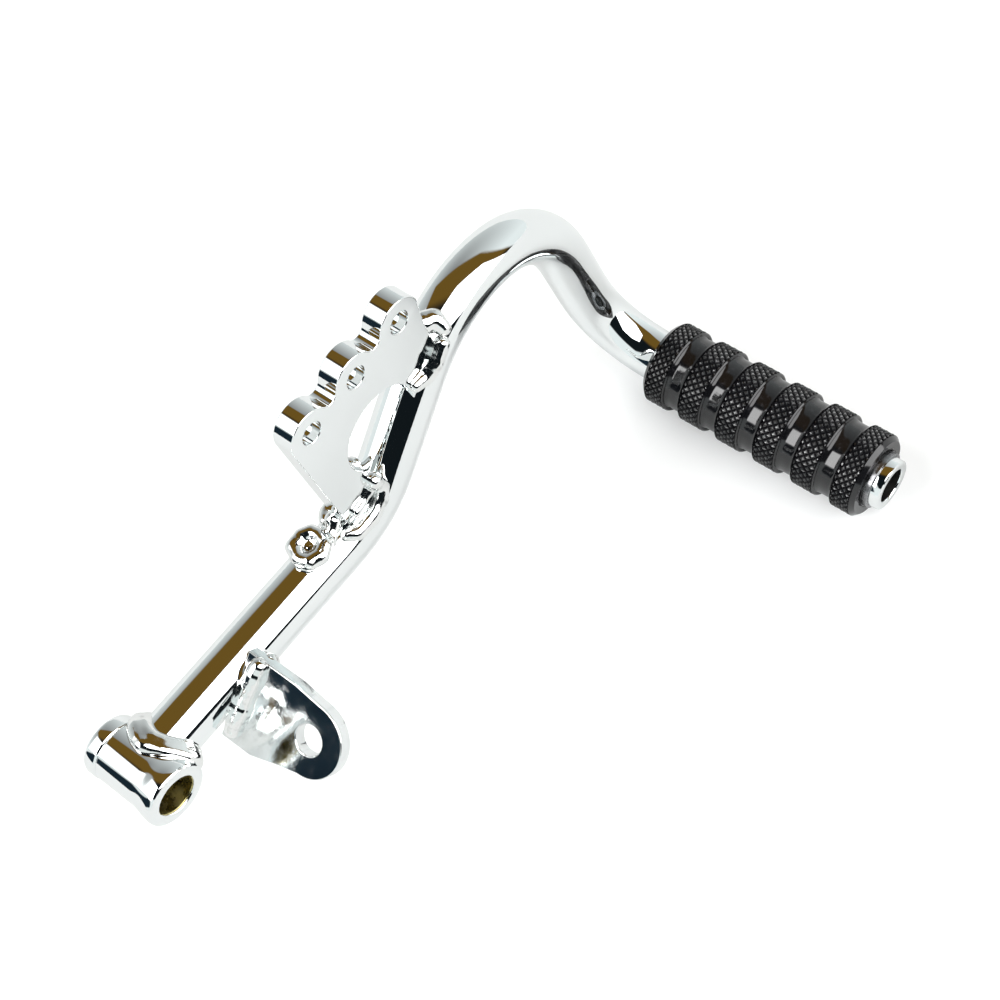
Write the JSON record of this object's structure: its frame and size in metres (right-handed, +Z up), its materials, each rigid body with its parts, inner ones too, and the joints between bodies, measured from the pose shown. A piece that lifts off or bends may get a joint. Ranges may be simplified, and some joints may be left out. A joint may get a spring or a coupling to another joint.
{
  "type": "motorcycle gear shift lever",
  "caption": "Bent tube shift lever with a pivot boss, a drilled linkage bracket, a drilled tab and a knurled toe peg that turns on the tube.",
  "frame": {"origin": "centre of the pivot bore", "axes": "Y along the pivot bore with the toe peg towards -Y, X along the row of linkage holes towards the toe peg's end of the lever, Z up"},
  "size_m": [0.1603, 0.0887, 0.0936],
  "materials": {
    "chrome_plate": "mirror chrome plate",
    "chrome_weld": "rippled weld under chrome plate",
    "bronze": "dull bronze",
    "black_anodised": "black anodised, diamond knurl on the lands",
    "bush_plastic": "black plastic",
    "ring_steel": "spring steel"
  },
  "bodies": {
    "lever": {"arm_tube": "chrome_plate", "pivot_boss": "chrome_plate", "pivot_collar": "chrome_plate", "pivot_bush": "bronze", "boss_weld": "chrome_weld", "linkage_bracket": "chrome_plate", "bracket_weld_lower_front": "chrome_weld", "bracket_weld_lower_back": "chrome_weld", "bracket_weld_upper_front": "chrome_weld", "bracket_weld_upper_back": "chrome_weld", "bracket_weld_heel": "chrome_weld", "bracket_weld_toe": "chrome_weld", "drilled_tab": "chrome_plate", "tab_weld_upper": "chrome_weld", "tab_weld_lower": "chrome_weld", "peg_stop_ring": "ring_steel", "peg_thrust_washer": "ring_steel", "peg_retaining_ring": "ring_steel"},
    "peg": {"toe_peg": "black_anodised", "peg_bush_inner": "bush_plastic", "peg_bush_outer": "bush_plastic"}
  },
  "joints": [
    {"name": "peg_spin", "type": "hinge", "parent": "lever", "child": "peg", "pos_m": [0.143, -0.045, -0.0457], "axis": [0, -1, 0], "continuous": true}
  ]
}
